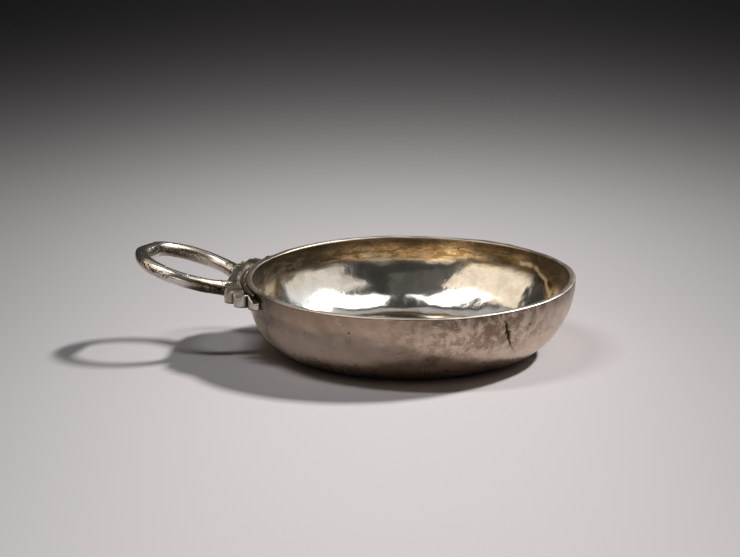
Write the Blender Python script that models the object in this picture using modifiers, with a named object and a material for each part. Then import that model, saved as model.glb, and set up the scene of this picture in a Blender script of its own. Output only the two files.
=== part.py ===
# Old silver wine tasting cup: a shallow raised bowl with a finger ring on a lobed bracket.
# Metres, +Z up. The origin is the centre of the flat base and the handle points along -X.

import math

import bmesh
import bpy
from mathutils import Matrix, Vector

# Bowl, raised from one disc of sheet
RIM_DIAMETER = 0.0800
BOWL_HEIGHT = 0.0186
BASE_DIAMETER = 0.0500
WALL = 0.0010
RIM_WIDTH = 0.0017
RIM_FADE = 0.0060
RIM_ROUND = 0.0003

# Lobed bracket, cast in one piece and shaped to the wall
BRACKET_REACH = 0.0042
BRACKET_DROP = 0.0010
BRACKET_THICKNESS = 0.0032
BRACKET_EDGE = 0.00025
LOBES = 3
LOBE_RADIUS = 0.00225
LOBE_ARC = 0.0109
LOBE_PITCH = math.radians(23.5)
LOBE_FIRST = math.radians(29.0)
FAN_SETBACK = 0.0080
FAN_OFFSET = 0.0084
FLUTE_WIDTH = 0.0038
FLUTE_DEPTH = 0.0009
RIDGE_RADIUS = 0.0006
RIDGE_RISE = 0.0004
RIDGE_SPAN = 0.0160

# Finger ring of round wire, an egg-shaped bow whose two ends are filed flat
RING_BORE = 0.0203
WIRE = 0.0035
RING_STAND = 0.0094
RING_TIP = 0.0117
ARM_SPREAD = 0.0172
RING_TILT = math.radians(15.1)
RING_RISE = 0.00045

# Hard solder
BEAD_RADIUS = 0.00045
BEAD_SPAN = 0.0390
SHIM_THICKNESS = 0.0003
SHIM_MARGIN = 0.0002

# Clearance between a piece and its seat
SEAT_GAP = 0.0003

# Facets
TURN_STEPS = 64
CURVE_STEPS = 18
RING_STEPS = 48

# Places that follow from the sizes
RIM_RADIUS = RIM_DIAMETER / 2
BASE_RADIUS = BASE_DIAMETER / 2
SEAT_RADIUS = RIM_RADIUS + SEAT_GAP
BRACKET_FRONT = RIM_RADIUS + BRACKET_REACH
BRACKET_TOP = BOWL_HEIGHT - BRACKET_DROP
FAN_RADIUS = RIM_RADIUS - FAN_SETBACK
RING_FLAT = BRACKET_FRONT + SEAT_GAP + SHIM_THICKNESS + SEAT_GAP
RING_HALF = RING_BORE / 2 + WIRE / 2
RING_CENTRE = RING_FLAT + RING_STAND
RING_HEIGHT = BOWL_HEIGHT + RING_RISE
ARM_HEIGHT = RING_HEIGHT - RING_STAND * math.tan(RING_TILT)
ARM_SETBACK = RING_STAND / math.cos(RING_TILT)
ARM_TURN = math.pi - math.asin(ARM_SPREAD / 2 / RING_HALF)
RING_ROOT = -ARM_SETBACK / math.cos(ARM_TURN)
ARM_EDGE = ARM_SPREAD / 2 + WIRE / 2
BEAD_PATH = RIM_RADIUS + SEAT_GAP + BEAD_RADIUS
REBATE_RADIUS = BEAD_RADIUS + SEAT_GAP
RIDGE_PATH = BEAD_PATH + REBATE_RADIUS + RIDGE_RADIUS


def clear_scene():
    for item in list(bpy.data.objects):
        bpy.data.objects.remove(item, do_unlink=True)
    for group in list(bpy.data.collections):
        bpy.data.collections.remove(group)


def new_collection(name):
    group = bpy.data.collections.new(name)
    bpy.context.scene.collection.children.link(group)
    return group


def silver(name, colour, roughness):
    material = bpy.data.materials.new(name)
    material.use_nodes = True
    shader = material.node_tree.nodes["Principled BSDF"]
    shader.inputs["Base Color"].default_value = (*colour, 1.0)
    shader.inputs["Metallic"].default_value = 1.0
    shader.inputs["Roughness"].default_value = roughness
    return material


def add_object(name, data, group):
    item = bpy.data.objects.new(name, data)
    group.objects.link(item)
    return item


def finish_part(item, material, parent):
    item.data.materials.clear()
    item.data.materials.append(material)
    item.data.shade_smooth()
    item.data.set_sharp_from_angle(angle=math.radians(32))
    item.parent = parent


def as_cutter(item):
    item.hide_render = True
    item.display_type = "WIRE"
    return item


def poly_curve(name, points, group, cyclic, flat):
    data = bpy.data.curves.new(name, "CURVE")
    data.dimensions = "2D" if flat else "3D"
    spline = data.splines.new("POLY")
    spline.points.add(len(points) - 1)
    for slot, point in zip(spline.points, points):
        slot.co = (*point, 1.0)
    spline.use_cyclic_u = cyclic
    return add_object(name, data, group)


def plate_from_outline(name, outline, thickness, group):
    # A flat outline, filled on both sides and thickened about its own plane
    item = poly_curve(name, [(x, y, 0.0) for x, y in outline], group, True, True)
    item.data.fill_mode = "BOTH"
    item.data.extrude = thickness / 2
    return item


def wire_along(name, points, radius, group):
    item = poly_curve(name, points, group, False, False)
    item.data.bevel_depth = radius
    item.data.bevel_resolution = 4
    item.data.use_fill_caps = True
    return item


def to_mesh(item, group):
    # The curve becomes a closed mesh with its caps welded on
    bpy.context.view_layer.update()
    graph = bpy.context.evaluated_depsgraph_get()
    mesh = bpy.data.meshes.new_from_object(item.evaluated_get(graph))
    work = bmesh.new()
    work.from_mesh(mesh)
    bmesh.ops.remove_doubles(work, verts=work.verts, dist=1e-6)
    bmesh.ops.recalc_face_normals(work, faces=work.faces)
    work.to_mesh(mesh)
    work.free()
    name = item.name
    place = item.matrix_world.copy()
    bpy.data.objects.remove(item, do_unlink=True)
    solid = add_object(name, mesh, group)
    solid.matrix_world = place
    return solid


def boolean(item, tool, operation):
    step = item.modifiers.new(operation.lower() + "_" + tool.name, "BOOLEAN")
    step.operation = operation
    step.solver = "MANIFOLD"
    step.object = tool
    return step


def arc(radius, half_angle, height, steps):
    # Points on a level arc about the bowl's axis, on the handle's side
    points = []
    for step in range(steps + 1):
        turn = half_angle * (2 * step / steps - 1)
        points.append((-radius * math.cos(turn), radius * math.sin(turn), height))
    return points


def wall_thickness(depth):
    # The hammered edge is thick at the rim and thins to the wall below it
    share = min(depth / RIM_FADE, 1.0)
    ease = share * share * (3 - 2 * share)
    return RIM_WIDTH + (WALL - RIM_WIDTH) * ease


def bowl_profile():
    # The wall is a quarter ellipse from the upright rim to the flat base
    outer = []
    inner = []
    span = RIM_RADIUS - BASE_RADIUS
    for step in range(CURVE_STEPS + 1):
        turn = math.pi / 2 * step / CURVE_STEPS
        radius = BASE_RADIUS + span * math.cos(turn)
        depth = BOWL_HEIGHT * math.sin(turn)
        outward = Vector((math.cos(turn) / span, -math.sin(turn) / BOWL_HEIGHT)).normalized()
        outside = Vector((radius, BOWL_HEIGHT - depth))
        outer.append(outside)
        inner.append(outside - outward * wall_thickness(depth))
    crown = []
    for centre, start in ((RIM_RADIUS - RIM_WIDTH + RIM_ROUND, math.pi), (RIM_RADIUS - RIM_ROUND, math.pi / 2)):
        for step in range(4):
            turn = start - math.pi / 2 * step / 3
            rise = RIM_ROUND * (math.sin(turn) - 1)
            crown.append(Vector((centre + RIM_ROUND * math.cos(turn), BOWL_HEIGHT + rise)))
    below = [point for point in inner if point.y < BOWL_HEIGHT - 1.5 * RIM_ROUND]
    beside = [point for point in outer if point.y < BOWL_HEIGHT - 1.5 * RIM_ROUND]
    return [Vector((0.0, WALL))] + below[::-1] + crown + beside + [Vector((0.0, 0.0))]


def make_bowl(group):
    profile = bowl_profile()
    mesh = bpy.data.meshes.new("bowl")
    points = [(point.x, 0.0, point.y) for point in profile]
    edges = [(index, index + 1) for index in range(len(points) - 1)]
    mesh.from_pydata(points, edges, [])
    bowl = add_object("bowl", mesh, group)
    turn = bowl.modifiers.new("turn", "SCREW")
    turn.axis = "Z"
    turn.angle = 2 * math.pi
    turn.steps = TURN_STEPS
    turn.render_steps = TURN_STEPS
    turn.use_merge_vertices = True
    turn.merge_threshold = 0.00001
    turn.use_smooth_shade = True
    return bowl


def lobe_edge(turn):
    # Distance from the fan's centre to the lobed edge at this angle
    first = LOBE_FIRST
    index = min(max(round((turn - first) / LOBE_PITCH), 0), LOBES - 1)
    aside = turn - (first + index * LOBE_PITCH)
    across = LOBE_ARC * math.sin(aside)
    reach = math.sqrt(max(LOBE_RADIUS ** 2 - across ** 2, 0.0))
    return LOBE_ARC * math.cos(aside) + reach


def fan_point(turn, distance):
    # A place in plan, as distance along the handle and distance to its side
    return FAN_RADIUS + distance * math.cos(turn), FAN_OFFSET + distance * math.sin(turn)


def bracket_half_outline():
    # From the middle of the front face, round the lobes, to the wall
    half = [(BRACKET_FRONT, 0.0), (BRACKET_FRONT, ARM_EDGE + SEAT_GAP)]
    steps = 10 * LOBES
    begin = LOBE_FIRST - LOBE_PITCH / 2
    for step in range(steps + 1):
        turn = begin + LOBE_PITCH * LOBES * step / steps
        along, aside = fan_point(turn, lobe_edge(turn))
        if math.hypot(along, aside) < SEAT_RADIUS + BRACKET_EDGE:
            break
        half.append((along, aside))
    last_along, last_aside = half[-1]
    end = math.atan2(last_aside, last_along)
    seat = []
    for step in range(CURVE_STEPS):
        turn = end * (1 - step / CURVE_STEPS)
        seat.append((SEAT_RADIUS * math.cos(turn), SEAT_RADIUS * math.sin(turn)))
    return half, seat


def bracket_outline():
    half, seat = bracket_half_outline()
    front = half + seat + [(SEAT_RADIUS, 0.0)]
    back = [(along, -aside) for along, aside in front[1:-1]]
    return [(-along, aside) for along, aside in front + back[::-1]]


def flute_cutter(index, side, group):
    # One shell flute: a cone that widens from the fan's centre to the lobe's edge
    tip = LOBE_ARC + LOBE_RADIUS
    radius = ((FLUTE_WIDTH / 2) ** 2 + FLUTE_DEPTH ** 2) / (2 * FLUTE_DEPTH)
    lift = radius - FLUTE_DEPTH
    turn = LOBE_FIRST + index * LOBE_PITCH
    near = tip * 0.1
    far = tip * 1.3
    mesh = bpy.data.meshes.new("flute")
    work = bmesh.new()
    bmesh.ops.create_cone(
        work, cap_ends=True, segments=32, radius1=radius * near / tip, radius2=radius * far / tip, depth=far - near
    )
    work.to_mesh(mesh)
    work.free()
    name = "flute_" + ("back" if side > 0 else "front") + "_" + str(index + 1)
    cutter = add_object(name, mesh, group)
    axis = Vector((-math.cos(turn), side * math.sin(turn), lift / tip))
    middle = Vector((-FAN_RADIUS, side * FAN_OFFSET, BRACKET_TOP)) + axis * (near + far) / 2
    turned = axis.to_track_quat("Z", "Y").to_matrix().to_4x4()
    cutter.matrix_world = Matrix.Translation(middle) @ turned
    return as_cutter(cutter)


def rebate_cutter(group):
    # The round channel along the wall that takes the bead of solder
    bpy.ops.mesh.primitive_torus_add(
        major_radius=BEAD_PATH, minor_radius=REBATE_RADIUS, major_segments=120, minor_segments=16
    )
    cutter = bpy.context.object
    cutter.name = "solder_rebate"
    cutter.location = (0.0, 0.0, BRACKET_TOP)
    for owner in list(cutter.users_collection):
        owner.objects.unlink(cutter)
    group.objects.link(cutter)
    return as_cutter(cutter)


def make_bracket(group, cutters):
    plate = plate_from_outline("shell_bracket", bracket_outline(), BRACKET_THICKNESS, group)
    plate.location = (0.0, 0.0, BRACKET_TOP - BRACKET_THICKNESS / 2)
    bracket = to_mesh(plate, group)
    edge = bracket.modifiers.new("edge", "BEVEL")
    edge.width = BRACKET_EDGE
    edge.segments = 2
    edge.limit_method = "ANGLE"
    edge.angle_limit = math.radians(75)
    for index in range(LOBES):
        for side in (-1, 1):
            boolean(bracket, flute_cutter(index, side, cutters), "DIFFERENCE")
    boolean(bracket, rebate_cutter(cutters), "DIFFERENCE")
    half_turn = math.asin(RIDGE_SPAN / 2 / RIDGE_PATH)
    crest = BRACKET_TOP + RIDGE_RISE - RIDGE_RADIUS
    ridge = wire_along("ridge", arc(RIDGE_PATH, half_turn, crest, 12), RIDGE_RADIUS, cutters)
    boolean(bracket, as_cutter(to_mesh(ridge, cutters)), "UNION")
    return bracket


def ring_path():
    # Half an ellipse round the tip and the longer half towards the bracket, past the filed ends
    end = (ARM_TURN + math.pi) / 2
    points = []
    for step in range(RING_STEPS + 1):
        turn = end * (2 * step / RING_STEPS - 1)
        reach = RING_TIP if math.cos(turn) > 0 else RING_ROOT
        points.append((-reach * math.cos(turn), RING_HALF * math.sin(turn), 0.0))
    return points


def make_ring(group, cutters):
    bow = wire_along("handle_ring", ring_path(), WIRE / 2, group)
    bow.data.bevel_resolution = 6
    bow.location = (-RING_CENTRE, 0.0, RING_HEIGHT)
    bow.rotation_euler = (0.0, RING_TILT, 0.0)
    ring = to_mesh(bow, group)
    # Both ends are filed to one upright plane that faces the bracket
    mesh = bpy.data.meshes.new("file_flat")
    work = bmesh.new()
    bmesh.ops.create_cube(work, size=1.0)
    work.to_mesh(mesh)
    work.free()
    flat = add_object("file_flat", mesh, cutters)
    depth = RING_ROOT + 2 * WIRE
    flat.scale = (depth, 4 * RING_HALF, RING_ROOT + 4 * WIRE)
    flat.location = (depth / 2 - RING_FLAT, 0.0, ARM_HEIGHT)
    boolean(ring, as_cutter(flat), "DIFFERENCE")
    return ring


def make_wall_solder(group):
    half_turn = math.asin(BEAD_SPAN / 2 / BEAD_PATH)
    bead = wire_along("wall_solder", arc(BEAD_PATH, half_turn, BRACKET_TOP, 28), BEAD_RADIUS, group)
    return to_mesh(bead, group)


def make_ring_solder(side, group):
    # A thin oval layer between one filed end and the bracket's front face
    arm_half = WIRE / 2 / math.cos(RING_TILT)
    top = min(BRACKET_TOP, ARM_HEIGHT + arm_half) - SHIM_MARGIN
    bottom = max(BRACKET_TOP - BRACKET_THICKNESS, ARM_HEIGHT - arm_half) + SHIM_MARGIN
    outline = []
    for step in range(20):
        turn = 2 * math.pi * step / 20
        outline.append(((WIRE / 2 - SHIM_MARGIN) * math.cos(turn), (top - bottom) / 2 * math.sin(turn)))
    name = "ring_solder_" + ("back" if side > 0 else "front")
    shim = plate_from_outline(name, outline, SHIM_THICKNESS, group)
    shim.rotation_euler = (math.pi / 2, 0.0, math.pi / 2)
    layer = BRACKET_FRONT + SEAT_GAP + SHIM_THICKNESS / 2
    shim.location = (-layer, side * ARM_SPREAD / 2, (top + bottom) / 2)
    return to_mesh(shim, group)


clear_scene()
cup = new_collection("wine_tasting_cup")
cutters = new_collection("cutters")
root = add_object("cup_frame", None, cup)

worn_silver = silver("worn_silver", (0.62, 0.57, 0.52), 0.24)
cast_silver = silver("cast_silver", (0.56, 0.53, 0.48), 0.32)
wire_silver = silver("wire_silver", (0.64, 0.61, 0.57), 0.22)
solder_grey = silver("solder_grey", (0.42, 0.39, 0.35), 0.45)

finish_part(make_bowl(cup), worn_silver, root)
finish_part(make_bracket(cup, cutters), cast_silver, root)
finish_part(make_ring(cup, cutters), wire_silver, root)
finish_part(make_wall_solder(cup), solder_grey, root)
finish_part(make_ring_solder(-1, cup), solder_grey, root)
finish_part(make_ring_solder(1, cup), solder_grey, root)

bpy.context.view_layer.update()
length = RING_CENTRE + RING_TIP * math.cos(RING_TILT) + WIRE / 2 + RIM_RADIUS
print("length over the handle", round(length * 1000, 2), "mm")
print("bowl height", round(BOWL_HEIGHT * 1000, 2), "mm")
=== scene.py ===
# %% [markdown]
# # An old silver tasting cup
# The cup is a shallow bowl raised from one disc of silver, with a finger ring of round wire
# that stands on a cast, lobed bracket. The solids give its sizes. This lesson gives it the
# hammered, pitted and tarnished surfaces of the real thing, one piece after the other.

# %% Load the solids, with helpers that read boxes
import math
from functools import partial

import bpy
import numpy as np
from mathutils import Matrix, Vector


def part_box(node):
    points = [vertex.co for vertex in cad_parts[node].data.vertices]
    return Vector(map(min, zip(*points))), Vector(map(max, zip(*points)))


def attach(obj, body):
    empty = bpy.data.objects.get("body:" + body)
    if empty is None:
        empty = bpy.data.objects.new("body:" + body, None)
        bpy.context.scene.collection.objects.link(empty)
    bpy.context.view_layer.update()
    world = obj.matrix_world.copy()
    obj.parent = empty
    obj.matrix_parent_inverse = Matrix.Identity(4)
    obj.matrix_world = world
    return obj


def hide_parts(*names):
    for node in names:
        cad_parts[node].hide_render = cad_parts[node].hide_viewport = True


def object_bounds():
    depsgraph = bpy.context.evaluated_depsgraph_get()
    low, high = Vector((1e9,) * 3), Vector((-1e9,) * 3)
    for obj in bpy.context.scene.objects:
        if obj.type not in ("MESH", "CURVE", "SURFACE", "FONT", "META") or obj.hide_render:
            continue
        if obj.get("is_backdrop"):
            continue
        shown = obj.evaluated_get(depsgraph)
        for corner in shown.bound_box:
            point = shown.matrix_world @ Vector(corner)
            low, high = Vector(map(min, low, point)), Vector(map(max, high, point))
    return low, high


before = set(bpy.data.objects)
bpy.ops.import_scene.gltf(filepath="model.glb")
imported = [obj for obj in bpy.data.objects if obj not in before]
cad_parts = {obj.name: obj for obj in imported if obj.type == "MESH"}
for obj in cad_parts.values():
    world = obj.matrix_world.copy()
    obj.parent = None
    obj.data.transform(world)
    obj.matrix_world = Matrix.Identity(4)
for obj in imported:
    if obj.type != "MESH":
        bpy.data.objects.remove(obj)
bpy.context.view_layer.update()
MM = 0.001
print("solids:", ", ".join(sorted(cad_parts)))

# %% [markdown]
# ## Sizes
# Every size that the solids show is read from their boxes, so that each new surface lies where
# its solid lies. The few sizes that a box can't show, such as the wall's thickness, are
# written here once.

# %% Sizes of the bowl, the bracket and the ring
bowl_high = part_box("bowl")[1]
bracket_low, bracket_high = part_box("shell_bracket")
ring_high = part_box("handle_ring")[1]
RIM_RADIUS = bowl_high.x
BOWL_HEIGHT = bowl_high.z
BASE_RADIUS = 25.0 * MM
WALL = 1.0 * MM
RIM_WIDTH = 1.7 * MM
RIM_FADE = 6.0 * MM
CROWN = 0.55 * MM
BRACKET_FRONT = -bracket_low.x
BRACKET_BOTTOM = bracket_low.z
RIDGE_RISE = 0.4 * MM
BRACKET_TOP = bracket_high.z - RIDGE_RISE
WIRE_RADIUS = 1.75 * MM
print("rim", round(2 * RIM_RADIUS / MM, 1), "mm across,", round(BOWL_HEIGHT / MM, 1), "mm high")

# %% [markdown]
# ## A surface from a grid
# All the pieces here are grids of points that a formula gives as whole arrays. One helper turns
# such a grid into a mesh. It joins the last column to the first, as round a bowl, and closes the
# two ends with fans of triangles or joins them too. A closed surface has a signed volume, and its
# sign tells which way the faces look, so the helper can turn them outwards without a guess.

# %% Helpers: a closed mesh from a grid of points
def placed(name, data):
    """An object with this data, linked to the scene."""
    item = bpy.data.objects.new(name, data)
    bpy.context.scene.collection.objects.link(item)
    return item


def signed_volume(corners, faces):
    """Sum over triangles of the box product of their corners, divided by six."""
    one, two, three = (corners[faces[:, k]] for k in range(3))
    return float(np.einsum("ij,ij->i", one, np.cross(two, three)).sum() / 6)


def grid_piece(name, points, ends=None, loop=False, **marks):
    """A piece from rows of points, each row a closed ring. Row i joins row i + 1 by quads, ends
    are the middle points of the fans that close the first and last row, and with loop the last
    row joins the first. Each mark is a value a point, stored as an attribute."""
    rows, columns = points.shape[:2]
    index = np.arange(rows * columns).reshape(rows, columns)
    index = np.concatenate([index, index[:, :1]], axis=1)
    if loop:
        index = np.concatenate([index, index[:1]], axis=0)
    near, far = index[:-1], index[1:]
    quads = np.stack([near[:, :-1], near[:, 1:], far[:, 1:], far[:, :-1]], -1).reshape(-1, 4)
    corners = points.reshape(-1, 3)
    fans = np.zeros((0, 3), int)
    if ends is not None:
        start, stop = len(corners), len(corners) + 1
        ring, last = index[0], index[-1]
        opening = np.stack([np.full(columns, start), ring[1:], ring[:-1]], -1)
        closing = np.stack([np.full(columns, stop), last[:-1], last[1:]], -1)
        fans = np.concatenate([opening, closing])
        corners = np.concatenate([corners, np.array(ends)])
    if signed_volume(corners, np.concatenate([quads[:, :3], quads[:, [0, 2, 3]], fans])) < 0:
        quads, fans = quads[:, ::-1], fans[:, ::-1]
    mesh = bpy.data.meshes.new(name)
    mesh.from_pydata(corners.tolist(), [], quads.tolist() + fans.tolist())
    mesh.shade_smooth()
    for mark, values in marks.items():
        flat = np.asarray(values, np.float32).reshape(-1)
        if ends is not None:
            flat = np.concatenate([flat, [flat[0], flat[-1]]]).astype(np.float32)
        mesh.attributes.new(mark, "FLOAT", "POINT").data.foreach_set("value", flat)
    print(name, "has", len(quads) * 2 + len(fans), "triangles")
    return placed(name, mesh)


def dress(piece, slot_name, *nodes):
    """The piece rides on the cup's one body and stands for these solids."""
    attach(piece, "root")
    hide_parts(*nodes)


# %% [markdown]
# ## The marks of handwork
# A raised bowl is never even. Two formulas give that: slow ripples, a sum of plane waves in
# random directions, and blows, shallow round dishes as a hammer or an accident leaves them. Both
# work on places in space, so they run over seams without a step, and the random numbers start
# from a fixed seed, so each run gives the same cup.

# %% Helpers: ease, bell, ripples and blows
def ease(value, low, high):
    """From 0 at low to 1 at high along the curve 3t² − 2t³."""
    share = np.clip((value - low) / (high - low), 0.0, 1.0)
    return share * share * (3 - 2 * share)


def bell(value, middle, width, power=2):
    """1 at the middle, falling off to both sides as exp(−(distance / width)^power)."""
    return np.exp(-((value - middle) / width) ** power)


def ripples(points, seed, wavelength, waves=20):
    """Sum of plane waves with random directions and phases and lengths near the wavelength."""
    dice = np.random.default_rng(seed)
    way = dice.normal(size=(waves, 3))
    way /= np.linalg.norm(way, axis=1, keepdims=True)
    length = wavelength * dice.uniform(0.7, 1.4, (waves, 1))
    phase = dice.uniform(0, 2 * np.pi, waves)
    return np.sin(points @ (way * 2 * np.pi / length).T + phase).sum(-1) * math.sqrt(2 / waves)


def uneven(points, seed, *waves):
    """Sum of ripples, each given as height and wavelength, with seeds that count up."""
    return sum(height * ripples(points, seed + k, length) for k, (height, length) in enumerate(waves))


def blows(points, centres, radii, depths):
    """Each blow lowers what lies within its radius by depth · (1 − d²/r²)²."""
    total = np.zeros(points.shape[:-1])
    for centre, radius, depth in zip(centres, radii, depths):
        near = 1 - ((points - centre) ** 2).sum(-1) / radius ** 2
        total += depth * np.clip(near, 0, None) ** 2
    return total


# %% [markdown]
# ## The bowl's section
# A smith sinks and raises the disc over stakes, then thickens the edge with hammer blows along
# the rim. In section the outer wall is a quarter ellipse, upright at the rim and level at the
# base. The inner wall is that curve moved inwards by the thickness, and a soft crown joins the
# two. A lathe-like turn of this section would be enough for a new cup. Here it is only the start.

# %% Section of the bowl as arrays of radius, height and outward direction
WALL_ROWS = 66
CROWN_ROWS = 19
CROWN_ROWS_INSIDE = 5
FLOOR_ROWS = 40
UNDER_ROWS = 20
FIRST_TURN = 0.02
POLE_SHARE = 0.012
CROWN_FOOT = BOWL_HEIGHT - 1.3 * CROWN
CROWN_SIDE = 0.7
CROWN_ARCH = 0.8
UNDER_HOLLOW = 0.12 * MM


def bowl_section():
    """Rows from the middle of the inner floor, up the inside, over the rim, down the outside and
    to the middle of the underside. Outer wall: radius = base + span · cos t, depth = height · sin t.
    Crown: a superellipse of half the rim's width. Also gives which rows lie inside."""
    turn = np.linspace(FIRST_TURN, np.pi / 2, WALL_ROWS)
    span = RIM_RADIUS - BASE_RADIUS
    depth = BOWL_HEIGHT * np.sin(turn)
    outside = np.stack([BASE_RADIUS + span * np.cos(turn), BOWL_HEIGHT - depth], -1)
    way = np.stack([np.cos(turn) / span, -np.sin(turn) / BOWL_HEIGHT], -1)
    way /= np.linalg.norm(way, axis=1, keepdims=True)
    thick = RIM_WIDTH + (WALL - RIM_WIDTH) * ease(depth, 0, RIM_FADE)
    inside = outside - way * thick[:, None]
    outer_wall = outside[:, 1] < CROWN_FOOT
    inner_wall = inside[:, 1] < CROWN_FOOT
    cross = np.linspace(np.pi, 0, CROWN_ROWS)
    half = RIM_WIDTH / 2
    crown = np.stack([
        RIM_RADIUS - half + half * np.sign(np.cos(cross)) * np.abs(np.cos(cross)) ** CROWN_SIDE,
        BOWL_HEIGHT - CROWN + CROWN * np.sin(cross) ** CROWN_ARCH], -1)
    crown_way = np.stack([np.cos(cross), np.sin(cross)], -1)
    run = np.linspace(POLE_SHARE, 1, FLOOR_ROWS)[:-1] * BASE_RADIUS
    floor = np.stack([run, np.full(run.size, WALL)], -1)
    back = np.linspace(1, POLE_SHARE, UNDER_ROWS)[1:] * BASE_RADIUS
    under = np.stack([back, UNDER_HOLLOW * (1 - (back / BASE_RADIUS) ** 2)], -1)
    level = np.array([[0.0, 1.0]])
    section = np.concatenate([floor, inside[inner_wall][::-1], crown, outside[outer_wall], under])
    facing = np.concatenate([level.repeat(run.size, 0), -way[inner_wall][::-1], crown_way,
                             way[outer_wall], -level.repeat(back.size, 0)])
    is_inside = np.zeros(len(section))
    is_inside[:run.size + inner_wall.sum() + CROWN_ROWS_INSIDE] = 1
    return section, facing, is_inside


section, facing, is_inside = bowl_section()
print("the section has", len(section), "rows")

# %% [markdown]
# ## Where the viewer stands
# Some marks belong to one place, such as the tear in the wall at the front. The view comes from
# the side of the cup, a little to the right of square, so three directions name every place as
# it is seen: right, away and up.

# %% Directions of the view
VIEW_TURN = math.radians(8.0)
VIEW_RISE = math.radians(14.83)
right = np.array([math.cos(VIEW_TURN), math.sin(VIEW_TURN), 0.0])
away = np.array([-math.sin(VIEW_TURN), math.cos(VIEW_TURN), 0.0])
up = np.array([0.0, 0.0, 1.0])
FRONT_TURN = VIEW_TURN - math.pi / 2
print("the front faces", round(math.degrees(FRONT_TURN), 1), "degrees")

# %% [markdown]
# ## The bowl
# The section turns round the axis, and then the handwork bends it: the lower body sits half a
# millimetre off the rim's centre, the rim rises and falls by a tenth, planishing blows dish both
# faces, and an old tear runs down the wall. The columns stand closer where the tear and a pale
# run inside lie, because a groove half a millimetre deep needs points of its own.

# %% Columns round the bowl
TEAR_DEPTHS = np.array([0.0, 1.4, 2.4, 5.8, 9.3, 12.6]) * MM
TEAR_TURNS = FRONT_TURN + np.radians([33.0, 33.4, 35.4, 37.3, 40.0, 45.8])
TEAR_GROOVE = 0.48 * MM
RUN_DEPTHS = np.array([3.7, 3.5, 3.9, 5.0, 5.8, 7.1, 8.5]) * MM
RUN_TURNS = np.array([135.5, 132.0, 128.0, 124.5, 120.5, 118.5, 114.5])
TEAR_MARGIN = 0.03
COLUMN_GAP = 0.012
coarse = np.linspace(-np.pi, np.pi, 300, endpoint=False)
fine = np.linspace(TEAR_TURNS[0] - TEAR_MARGIN, TEAR_TURNS[-1] + TEAR_MARGIN, 120)
medium = FRONT_TURN + np.radians(np.linspace(112.5, 138.5, 70))
clear = [(coarse < run[0] - COLUMN_GAP) | (coarse > run[-1] + COLUMN_GAP) for run in (fine, medium)]
columns = np.sort(np.concatenate([coarse[clear[0] & clear[1]], fine, medium]))
print(len(columns), "columns,", len(fine), "of them at the tear")

# %% Helpers: the turned section, hammer work, the tear and the lean
BLOWS = 240
BLOW_RADII = (2.6, 4.6)
BLOW_DEPTHS = (0.015, 0.045)
OUTER_BLOWS = 0.7
FLOOR_WORK = 0.22
LEAN = 0.55 * MM


def turned(values, turns):
    """A section of radius and height turned round the axis: x = r cos, y = r sin, z = h."""
    flat = values[:, None, :1] * np.stack([np.cos(turns), np.sin(turns)], -1)[None]
    return np.concatenate([flat, np.broadcast_to(values[:, None, 1:], flat.shape[:2] + (1,))], -1)


def axis_distance(points):
    """How far points lie from the bowl's axis."""
    return np.hypot(points[..., 0], points[..., 1])


def hammered(points, inner, seed):
    """Depth of the planishing: blows at random places of this face and three ripples, all of them
    weaker on the floor than on the wall."""
    dice = np.random.default_rng(seed)
    weight = axis_distance(points).reshape(-1)
    chosen = dice.choice(weight.size, BLOWS, p=weight / weight.sum())
    centres = points.reshape(-1, 3)[chosen]
    radii = dice.uniform(*BLOW_RADII, BLOWS) * MM
    depths = dice.uniform(*BLOW_DEPTHS, BLOWS) * MM * (1.0 if inner else OUTER_BLOWS)
    dished = blows(points, centres, radii, depths)
    waves = ((0.040 * MM, 13 * MM), (0.014 * MM, 4.2 * MM), (0.004 * MM, 2.0 * MM))
    steep = ease(axis_distance(points), BASE_RADIUS - 4 * MM, BASE_RADIUS + 1.5 * MM)
    return (dished + uneven(points, seed + 1, *waves)) * (FLOOR_WORK + (1 - FLOOR_WORK) * steep)


def tear(points, turns, spread=1.0):
    """A groove whose depth falls off as (1 − (d/w)²)² to both sides of the tear's wandering line,
    where d is the distance along the wall. Its width and strength follow the depth below the rim,
    with a knot in the middle, and spread widens the whole."""
    below = BOWL_HEIGHT - points[..., 2]
    below_mm = below / MM
    line = np.interp(below, TEAR_DEPTHS, TEAR_TURNS)
    line = line + np.radians(0.17) * np.sin(below_mm * 2.3) + np.radians(0.08) * np.sin(below_mm * 6.1)
    aside = (turns[None] - line) * axis_distance(points)
    width = MM * np.interp(below_mm, [0, 1.4, 2.2, 3.0, 4.6, 5.7, 6.4, 7.2, 8.8, 9.4, 12.6],
                           [0.26, 0.26, 0.34, 0.50, 0.56, 0.94, 0.86, 0.46, 0.38, 0.26, 0.15])
    width = width * spread * (1 + 0.30 * np.sin(below_mm * 3.7) + 0.22 * np.sin(below_mm * 8.1))
    strength = np.interp(below_mm, [0, 1.2, 1.9, 2.9, 5.5, 8.6, 9.6, 12.6],
                         [0.45, 0.40, 0.12, 0.80, 1.0, 0.95, 0.36, 0.14])
    return strength * np.clip(1 - (aside / width) ** 2, 0, None) ** 2


def bent_by_hand(points):
    """The body's lean: x moves by up to half a millimetre towards the base. The radius swells by a
    tenth of a millimetre in two and in five waves round the axis, and the rim rises by as much in
    three and in seven."""
    depth = ease(BOWL_HEIGHT - points[..., 2], 0, BOWL_HEIGHT)
    turn = np.arctan2(points[..., 1], points[..., 0])
    swell = 1 + 0.0025 * np.sin(2 * turn + 0.6) + 0.0015 * np.sin(5 * turn + 2.0)
    moved = points.copy()
    moved[..., :2] *= swell[..., None]
    moved[..., 0] -= LEAN * depth
    lift = 0.10 * np.sin(3 * turn + 1.1) + 0.05 * np.sin(7 * turn)
    moved[..., 2] += lift * MM * (points[..., 2] / BOWL_HEIGHT) ** 2
    return moved


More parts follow.
